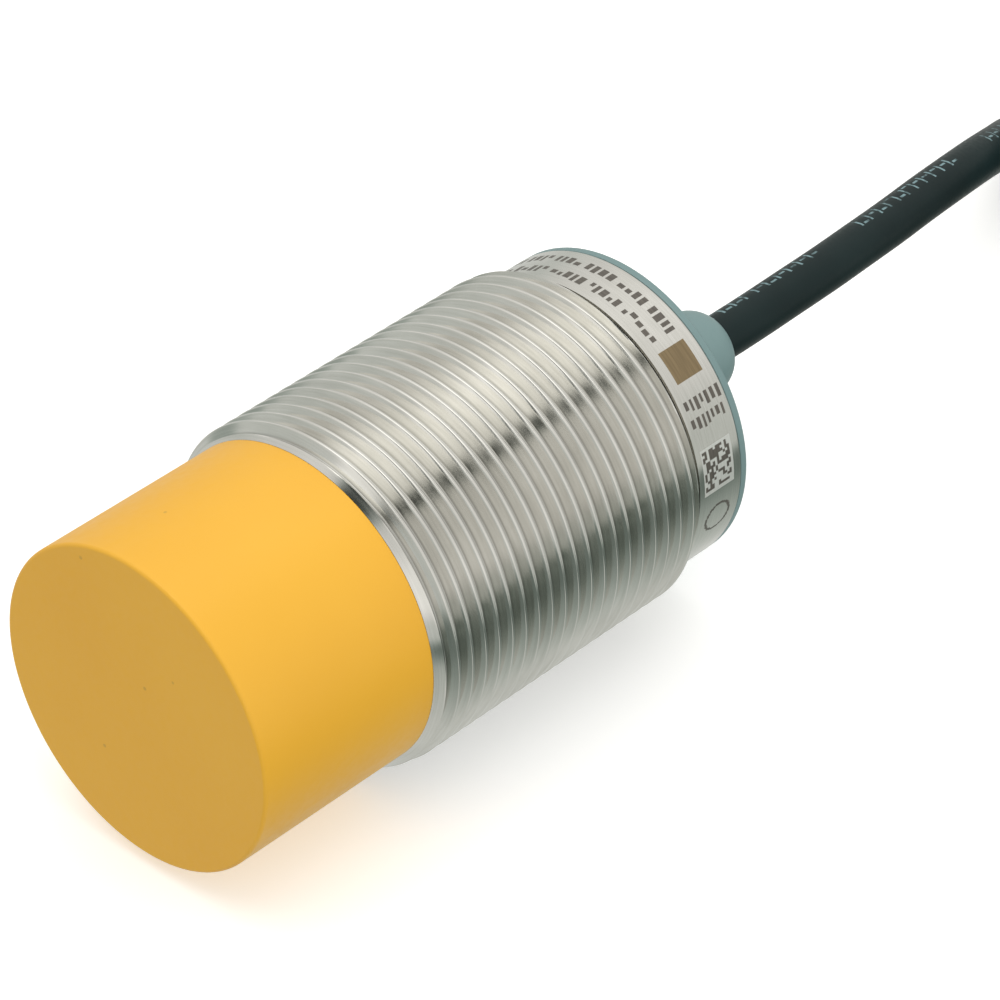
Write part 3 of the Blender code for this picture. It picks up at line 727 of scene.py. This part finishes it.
def make_end_cap(materials):
    """The rear end cap: thin rim, concave fillet, and the domed hub around the cable."""
    dome = []
    dome_steps = 16
    for step in range(dome_steps + 1):
        turn = math.pi / 2 * step / dome_steps
        x = HUB_TIP - HUB_DOME * (1 - math.cos(turn))
        dome.append((x, HUB_MOUTH + (HUB_RADIUS - HUB_MOUTH) * math.sin(turn)))
    front = BARREL_REAR + SEAM
    fillet_centre = (RIM_REAR + HUB_FILLET, HUB_RADIUS + HUB_FILLET)
    edge_centre = (RIM_REAR - RIM_ROUNDING, RIM_RADIUS - RIM_ROUNDING)
    profile = [
        (HUB_TIP - 0.9, 0.0),
        (HUB_TIP - 0.9, CABLE_HOLE),
        (HUB_TIP - 0.08, CABLE_HOLE),
        (HUB_TIP - 0.02, CABLE_HOLE + 0.04),
        (HUB_TIP, CABLE_HOLE + 0.1),
    ]
    profile += dome
    profile += arc(fillet_centre, HUB_FILLET, 270.0, 180.0, 12)
    profile += arc(edge_centre, RIM_ROUNDING, 0.0, 90.0, 6)
    profile += [
        (front + 0.08, RIM_RADIUS),
        (front + 0.02, RIM_RADIUS - 0.02),
        (front, RIM_RADIUS - 0.08),
        (front, SPIGOT_RADIUS),
        (BARREL_REAR - 3.0, SPIGOT_RADIUS),
        (BARREL_REAR - 3.0, SPIGOT_HOLLOW),
        (BARREL_REAR - 0.9, SPIGOT_HOLLOW),
        (BARREL_REAR - 0.9, HUB_MOUTH),
        (HUB_TIP - 4.3, HUB_MOUTH),
        (HUB_TIP - 4.3, 0.0),
    ]
    cap = turned("end_cap", profile, [materials["end_cap_plastic"]])
    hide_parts("rear_end_cap")


# ---------------------------------------------------------------- materials

def add_node(tree, kind, inputs=None, **settings):
    """Add a shader node, set its options, and set or link its inputs."""
    node = tree.nodes.new("ShaderNode" + kind)
    for key, value in settings.items():
        setattr(node, key, value)
    for key, value in (inputs or {}).items():
        if isinstance(value, bpy.types.NodeSocket):
            tree.links.new(value, node.inputs[key])
        else:
            node.inputs[key].default_value = value
    return node


def maths(tree, operation, first, second=0.0, third=0.0):
    """A math node's output."""
    return add_node(
        tree, "Math", {0: first, 1: second, 2: third}, operation=operation
    ).outputs[0]


def noise(tree, vector, scale, detail=4.0):
    """A noise texture's output."""
    inputs = {"Vector": vector, "Scale": scale, "Detail": detail, "Roughness": 0.5}
    return add_node(tree, "TexNoise", inputs).outputs["Fac"]


def remap(tree, value, low, high, to_low=0.0, to_high=1.0):
    """Map a range of values onto another, clamped."""
    inputs = {"Value": value, "From Min": low, "From Max": high}
    inputs.update({"To Min": to_low, "To Max": to_high})
    return add_node(tree, "MapRange", inputs).outputs["Result"]


def blend(tree, share, first, second):
    """Mix two colours; each is a colour or an output."""
    first = (*first, 1.0) if isinstance(first, tuple) else first
    second = (*second, 1.0) if isinstance(second, tuple) else second
    node = add_node(tree, "Mix", {0: share, 6: first, 7: second}, data_type="RGBA")
    return node.outputs[2]


def bump(tree, height, distance):
    """A bump normal; distance is the real depth in metres."""
    inputs = {"Height": height, "Distance": distance, "Strength": 1.0}
    return add_node(tree, "Bump", inputs).outputs["Normal"]


def stretched(tree, vector, scale):
    """Scale a vector, so that a texture runs in streaks."""
    return add_node(tree, "Mapping", {"Vector": vector, "Scale": scale}).outputs["Vector"]


def place(tree):
    """The place on the object, in metres."""
    return add_node(tree, "TexCoord").outputs["Object"]


def turned_place(tree):
    """The place as (x, turn as a unit pair), and its distance from the axis."""
    split = add_node(tree, "SeparateXYZ", {0: place(tree)})
    sideways = split.outputs["Y"]
    height = maths(tree, "SUBTRACT", split.outputs["Z"], AXIS_HEIGHT * MM)
    square = maths(tree, "MULTIPLY", height, height)
    square = maths(tree, "MULTIPLY_ADD", sideways, sideways, square)
    reach = maths(tree, "MAXIMUM", maths(tree, "SQRT", square), 1e-5)
    across = maths(tree, "DIVIDE", sideways, reach)
    above = maths(tree, "DIVIDE", height, reach)
    parts = {0: split.outputs["X"], 1: across, 2: above}
    return add_node(tree, "CombineXYZ", parts).outputs[0], reach


def start_material(name, **sockets):
    """A material and its shader, with the constant values on the shader's sockets."""
    material = bpy.data.materials.new(name)
    material.use_nodes = True
    tree = material.node_tree
    shader = tree.nodes["Principled BSDF"]
    for key, value in sockets.items():
        socket = shader.inputs[key.replace("_", " ")]
        socket.default_value = (*value, 1.0) if isinstance(value, tuple) else value
    return material, tree, shader


def connect(tree, shader, **outputs):
    """Link outputs to the shader's sockets."""
    for key, output in outputs.items():
        tree.links.new(output, shader.inputs[key.replace("_", " ")])


def plastic(name, dark, light, rough):
    """Moulded plastic: uneven colour, a fine eroded grain, and uneven gloss."""
    material, tree, shader = start_material(name)
    spot = place(tree)
    cloud = remap(tree, noise(tree, spot, 60.0), 0.35, 0.65)
    fine = noise(tree, spot, 900.0, detail=3.0)
    colour = blend(tree, cloud, dark, light)
    colour = blend(tree, remap(tree, fine, 0.62, 0.72, 0.0, 0.35), colour, dark)
    gloss = remap(tree, fine, 0.3, 0.7, rough - 0.05, rough + 0.06)
    connect(tree, shader, Base_Color=colour, Roughness=gloss, Normal=bump(tree, fine, 6e-6))
    return material


def add_root_shade(tree, colour, reach):
    """Darken the thread's root with painted shade, the shadow that falls in the groove, and
    nothing else.
    """
    along = add_node(tree, "SeparateXYZ", {0: place(tree)}).outputs["X"]
    top_of_root_shade = (ROOT_RADIUS + 0.22) * MM
    root_shade = remap(tree, reach, ROOT_RADIUS * MM, top_of_root_shade, 0.5, 0.0)
    above_collar = maths(tree, "GREATER_THAN", reach, (COLLAR_RADIUS + 0.08) * MM)
    past_lead = maths(tree, "GREATER_THAN", along, (BARREL_FRONT + 0.4) * MM)
    in_thread = maths(tree, "MULTIPLY", above_collar, past_lead)
    # The near-black colour is painted shade in the thread roots.
    return blend(tree, maths(tree, "MULTIPLY", root_shade, in_thread), colour, (0.16, 0.16, 0.145))


def turned_metal(name, dark, light, rough, threaded=False):
    """Turned metal: fine streaks around the axis, and faint stains."""
    material, tree, shader = start_material(name, Metallic=1.0, Anisotropic=0.4)
    around, reach = turned_place(tree)
    streaks = noise(tree, stretched(tree, around, (9000.0, 3.0, 3.0)), 1.0, detail=3.0)
    wide_streaks = noise(tree, stretched(tree, around, (1800.0, 1.2, 1.2)), 1.0)
    stain = noise(tree, place(tree), 170.0, detail=5.0)
    mixed = maths(tree, "MULTIPLY_ADD", streaks, 0.5, maths(tree, "MULTIPLY", stain, 0.5))
    colour = blend(tree, remap(tree, mixed, 0.35, 0.65), dark, light)
    if threaded:
        # On the thread, painted shade darkens the roots.
        colour = add_root_shade(tree, colour, reach)
    connect(
        tree,
        shader,
        Base_Color=colour,
        Roughness=remap(tree, wide_streaks, 0.3, 0.7, rough - 0.05, rough + 0.07),
        Normal=bump(tree, streaks, 1.5e-6),
        Tangent=add_node(tree, "Tangent", direction_type="RADIAL", axis="X").outputs[0],
    )
    return material


def cap_plastic():
    """Satin orange plastic with a faint mould grain and a few dark specks."""
    material, tree, shader = start_material("cap_plastic")
    spot = place(tree)
    cloud = remap(tree, noise(tree, spot, 45.0), 0.3, 0.7)
    colour = blend(tree, cloud, (0.905, 0.460, 0.028), (0.94, 0.50, 0.036))
    cells = add_node(tree, "TexVoronoi", {"Vector": spot, "Scale": 330.0}, feature="F1")
    speck = remap(tree, cells.outputs["Distance"], 0.04, 0.07, 1.0, 0.0)
    rare = remap(tree, noise(tree, spot, 120.0, detail=1.0), 0.56, 0.6, 0.0, 0.4)
    colour = blend(tree, maths(tree, "MULTIPLY", speck, rare), colour, (0.42, 0.20, 0.03))
    grain = noise(tree, spot, 1400.0, detail=3.0)
    gloss = remap(tree, grain, 0.3, 0.7, 0.36, 0.46)
    connect(tree, shader, Base_Color=colour, Roughness=gloss, Normal=bump(tree, grain, 5e-6))
    return material


def jacket_print(tree):
    """Where the jacket is printed: groups of plain ticks and bars that say nothing."""
    split = add_node(tree, "SeparateXYZ", {0: add_node(tree, "TexCoord").outputs["UV"]})
    length, turn = split.outputs["X"], split.outputs["Y"]
    twist = maths(tree, "MULTIPLY_ADD", length, 2.0, -0.57)
    around = maths(tree, "FRACT", maths(tree, "SUBTRACT", turn, twist))
    height = maths(tree, "SUBTRACT", around, 0.5)
    cells = maths(tree, "MULTIPLY", length, 1 / PRINT_CELL)
    within = maths(tree, "FRACT", cells)
    cell = {"W": maths(tree, "FLOOR", cells)}
    pick = add_node(tree, "TexWhiteNoise", cell, noise_dimensions="1D").outputs["Value"]
    level = maths(tree, "MULTIPLY_ADD", pick, 0.08, -0.04)
    bar = maths(tree, "COMPARE", height, level, 0.009)
    bar = maths(tree, "MULTIPLY", bar, maths(tree, "COMPARE", within, 0.58, 0.24))
    stroke = maths(tree, "MAXIMUM", bar, maths(tree, "LESS_THAN", within, 0.15))
    group = maths(tree, "FRACT", maths(tree, "MULTIPLY", length, 1 / PRINT_GROUP))
    row = maths(tree, "COMPARE", height, 0.0, 0.05)
    row = maths(tree, "MULTIPLY", row, maths(tree, "LESS_THAN", group, 0.72))
    return maths(tree, "MULTIPLY", row, stroke)


def cable_jacket():
    """Matt dark jacket with a faint drawn grain and worn print."""
    material, tree, shader = start_material("cable_jacket", Specular_IOR_Level=0.16)
    spot = place(tree)
    grain = noise(tree, spot, 2600.0, detail=3.0)
    cloud = remap(tree, noise(tree, spot, 90.0), 0.35, 0.65)
    colour = blend(tree, cloud, (0.007, 0.0155, 0.0165), (0.011, 0.0235, 0.0245))
    worn = remap(tree, noise(tree, spot, 1500.0), 0.38, 0.55, 0.15, 0.9)
    printed = maths(tree, "MULTIPLY", jacket_print(tree), worn)
    colour = blend(tree, printed, colour, (0.24, 0.37, 0.40))
    gloss = remap(tree, grain, 0.3, 0.7, 0.34, 0.46)
    connect(tree, shader, Base_Color=colour, Roughness=gloss, Normal=bump(tree, grain, 4e-6))
    return material


def wound_copper():
    """Enamelled wire lying turn beside turn, with painted shade in the grooves between turns."""
    material, tree, shader = start_material("copper_wire", Metallic=1.0)
    spot = place(tree)
    turns = add_node(
        tree, "TexWave", {"Vector": spot, "Scale": 1250.0}, bands_direction="X"
    ).outputs["Fac"]
    # The darker bands are painted shade in the grooves between turns, where the bump sinks.
    colour = blend(tree, turns, (0.38, 0.12, 0.04), (0.85, 0.40, 0.20))
    gloss = remap(tree, noise(tree, spot, 600.0), 0.3, 0.7, 0.2, 0.34)
    connect(tree, shader, Base_Color=colour, Roughness=gloss, Normal=bump(tree, turns, 6e-5))
    return material


def board_laminate():
    """Green solder mask over copper tracks on woven glass."""
    material, tree, shader = start_material("board_laminate")
    spot = place(tree)
    weave = add_node(tree, "TexChecker", {"Vector": spot, "Scale": 2400.0}).outputs["Fac"]
    tracks = add_node(
        tree, "TexBrick", {"Vector": spot, "Scale": 330.0, "Mortar Size": 0.09}
    ).outputs["Fac"]
    weave_share = maths(tree, "MULTIPLY", weave, 0.2)
    track_share = maths(tree, "MULTIPLY", tracks, 0.7)
    colour = blend(tree, weave_share, (0.010, 0.105, 0.045), (0.016, 0.15, 0.06))
    colour = blend(tree, track_share, colour, (0.03, 0.26, 0.10))
    gloss = remap(tree, noise(tree, spot, 300.0), 0.3, 0.7, 0.28, 0.4)
    connect(tree, shader, Base_Color=colour, Roughness=gloss, Normal=bump(tree, tracks, 3e-5))
    return material


def ink(name, dark, light, rough):
    """Laser-annealed or printed patches on the collar."""
    material, tree, shader = start_material(name, Metallic=0.35)
    around, _ = turned_place(tree)
    streaks = noise(tree, stretched(tree, around, (7000.0, 4.0, 4.0)), 1.0)
    share = remap(tree, streaks, 0.35, 0.65)
    gloss = remap(tree, streaks, 0.3, 0.7, rough - 0.05, rough + 0.05)
    connect(tree, shader, Base_Color=blend(tree, share, dark, light), Roughness=gloss)
    return material


def make_materials():
    """Every finish, by the name of its slot, as (dark, light) colours and a roughness."""
    made = {
        "barrel_steel": turned_metal(
            "barrel_steel", (0.62, 0.612, 0.575), (0.74, 0.73, 0.695), 0.13, threaded=True
        ),
        "clamp_brass": turned_metal("clamp_brass", (0.62, 0.45, 0.20), (0.80, 0.62, 0.30), 0.3),
        "tinned_copper": turned_metal(
            "tinned_copper", (0.60, 0.60, 0.58), (0.78, 0.78, 0.76), 0.28
        ),
        "cap_plastic": cap_plastic(),
        "cable_jacket": cable_jacket(),
        "copper_wire": wound_copper(),
        "board_laminate": board_laminate(),
        "mark_dark": ink("mark_dark", (0.10, 0.09, 0.08), (0.15, 0.135, 0.115), 0.4),
        "mark_brown": ink("mark_brown", (0.20, 0.145, 0.075), (0.26, 0.19, 0.10), 0.38),
        "mark_pale": ink("mark_pale", (0.62, 0.63, 0.60), (0.70, 0.71, 0.68), 0.45),
    }
    simple = {
        "end_cap_plastic": ((0.185, 0.285, 0.290), (0.215, 0.325, 0.330), 0.42),
        "seal_rubber": ((0.012, 0.012, 0.013), (0.025, 0.025, 0.026), 0.62),
        "ferrite": ((0.035, 0.035, 0.040), (0.060, 0.060, 0.066), 0.55),
        "bobbin_plastic": ((0.66, 0.62, 0.55), (0.76, 0.72, 0.65), 0.45),
        "chip_body": ((0.020, 0.020, 0.023), (0.038, 0.038, 0.042), 0.5),
        "tantalum_body": ((0.66, 0.38, 0.05), (0.78, 0.47, 0.07), 0.42),
        "ceramic_body": ((0.38, 0.28, 0.18), (0.48, 0.37, 0.25), 0.4),
        "led_lens": ((0.82, 0.66, 0.08), (0.92, 0.78, 0.14), 0.18),
        "casting_resin": ((0.28, 0.235, 0.15), (0.38, 0.33, 0.22), 0.33),
        "tie_plastic": ((0.014, 0.014, 0.015), (0.026, 0.026, 0.028), 0.42),
        "wire_brown": ((0.13, 0.045, 0.016), (0.18, 0.066, 0.026), 0.38),
        "wire_black": ((0.012, 0.012, 0.013), (0.024, 0.024, 0.026), 0.38),
        "wire_blue": ((0.020, 0.085, 0.36), (0.034, 0.125, 0.46), 0.38),
    }
    for name, (dark, light, rough) in simple.items():
        made[name] = plastic(name, dark, light, rough)
    return made


def dress_inner_nodes(materials):
    """Give every CAD node its procedural finish, by the slot in the record."""
    for part in frame["record"]["subparts"]:
        node = frame["nodes"][part["node"]]
        node.data.materials.clear()
        node.data.materials.append(materials[part["material_slot"]])


# ---------------------------------------------------------------- studio

def make_floor():
    """A wide pale floor with a matt painted finish."""
    shape = bmesh.new()
    bmesh.ops.create_grid(shape, x_segments=8, y_segments=8, size=3.0)
    mesh = bpy.data.meshes.new("floor")
    shape.to_mesh(mesh)
    shape.free()
    material, tree, shader = start_material(
        "floor_paint",
        Specular_IOR_Level=0.1,
        Emission_Color=(1.0, 1.0, 1.0),
        Emission_Strength=0.35,
    )
    cloud = noise(tree, place(tree), 3.0)
    colour = blend(tree, cloud, (0.93, 0.93, 0.93), (0.96, 0.96, 0.96))
    connect(tree, shader, Base_Color=colour, Roughness=remap(tree, cloud, 0.3, 0.7, 0.85, 0.95))
    mesh.materials.append(material)
    floor = bpy.data.objects.new("floor", mesh)
    bpy.context.scene.collection.objects.link(floor)
    floor.location.z = -0.0002
    floor.visible_glossy = False
    floor.visible_diffuse = False


def add_fill_light():
    """A large soft light from the front side, which no metal reflects."""
    data = bpy.data.lights.new("fill", "AREA")
    data.shape = "RECTANGLE"
    data.size, data.size_y = 1.0, 0.6
    data.energy = 0.9
    lamp = bpy.data.objects.new("fill", data)
    bpy.context.scene.collection.objects.link(lamp)
    lamp.location = (0.0, -0.85, 0.3)
    lamp.visible_glossy = False
    direction = Vector((0.0, 0.0, AXIS_HEIGHT * MM)) - lamp.location
    lamp.rotation_euler = direction.to_track_quat("-Z", "Y").to_euler()


# Panels and dark gaps painted on the room: ((turn from, to, soft edge),
# (rise from, to, soft edge), brightness), in degrees of direction, the last on top
ROOM_PANELS = [
    ((-92.0, -54.0, 4.0), (3.0, 46.0, 4.0), 0.95),
    ((-92.0, -60.0, 4.0), (-19.0, -11.0, 2.0), 0.2),
    ((-58.0, -38.0, 2.0), (50.5, 58.5, 1.5), 0.03),
    ((80.0, 98.0, 5.0), (14.0, 36.0, 4.0), 1.08),
    ((104.0, 117.0, 2.0), (-16.0, -2.0, 3.0), 0.42),
    ((158.0, 174.5, 3.0), (2.0, 27.0, 3.0), 1.12),
    ((166.0, 184.0, 4.0), (33.0, 60.0, 3.0), 0.04),
    ((-184.0, -162.0, 3.0), (33.0, 60.0, 3.0), 0.04),
    ((-150.0, -98.0, 4.0), (-6.0, 26.0, 4.0), 1.05),
    ((-135.0, -102.0, 4.0), (-60.0, -28.0, 4.0), 0.75),
    ((176.0, 181.0, 1.0), (-2.0, 24.0, 3.0), 0.03),
]


def window(tree, value, low, high, soft):
    """1 inside a range of values, fading to 0 over a soft edge."""
    inside = remap(tree, value, low - soft, low + soft)
    return maths(tree, "MULTIPLY", inside, remap(tree, value, high - soft, high + soft, 1.0, 0.0))


def fade(tree, share, first, second):
    """A value between two others, by a share from 0 to 1."""
    return maths(tree, "MULTIPLY_ADD", share, maths(tree, "SUBTRACT", second, first), first)


def paint_room(tree):
    """How bright the room is in each direction, in degrees of turn and of rise."""
    split = add_node(tree, "SeparateXYZ", {0: add_node(tree, "TexCoord").outputs["Generated"]})
    along, across = split.outputs["X"], split.outputs["Y"]
    rise = maths(tree, "DEGREES", maths(tree, "ARCSINE", split.outputs["Z"]))
    turn = maths(tree, "DEGREES", maths(tree, "ARCTAN2", across, along))
    walls = remap(tree, rise, 4.0, 46.0, 0.62, 0.95)
    ceiling = remap(tree, rise, 50.0, 72.0, 0.0, 0.75)
    upper = maths(tree, "ADD", walls, ceiling)
    ground = remap(tree, rise, -62.0, -32.0, 0.70, 0.19)
    horizon = remap(tree, rise, -21.0, -17.0, 0.19, 0.66)
    front = maths(tree, "MAXIMUM", ground, horizon)
    lower = fade(tree, remap(tree, across, -0.05, 0.25), front, 0.7)
    room = fade(tree, remap(tree, rise, -4.0, 8.0), lower, upper)
    for turns, rises, level in ROOM_PANELS:
        share = maths(
            tree,
            "MULTIPLY",
            window(tree, turn, *turns),
            window(tree, rise, *rises),
        )
        room = fade(tree, share, room, level)
    return room


def make_studio():
    """A pale painted room, greener where it is dark, and a soft fill light."""
    world = bpy.data.worlds.new("studio")
    bpy.context.scene.world = world
    world.use_nodes = True
    tree = world.node_tree
    background = tree.nodes["Background"]
    room = paint_room(tree)
    tint = blend(tree, remap(tree, room, 0.1, 0.8), (0.80, 1.0, 0.88), (1.0, 0.99, 0.955))
    tree.links.new(tint, background.inputs["Color"])
    tree.links.new(room, background.inputs["Strength"])
    add_fill_light()
    bpy.context.scene.view_settings.view_transform = "Standard"


# ---------------------------------------------------------------- everything


make_camera()
MATERIALS = make_materials()
make_cable(MATERIALS)
make_barrel(MATERIALS)
make_sensing_cap(MATERIALS)
make_end_cap(MATERIALS)
dress_inner_nodes(MATERIALS)
make_floor()
make_studio()
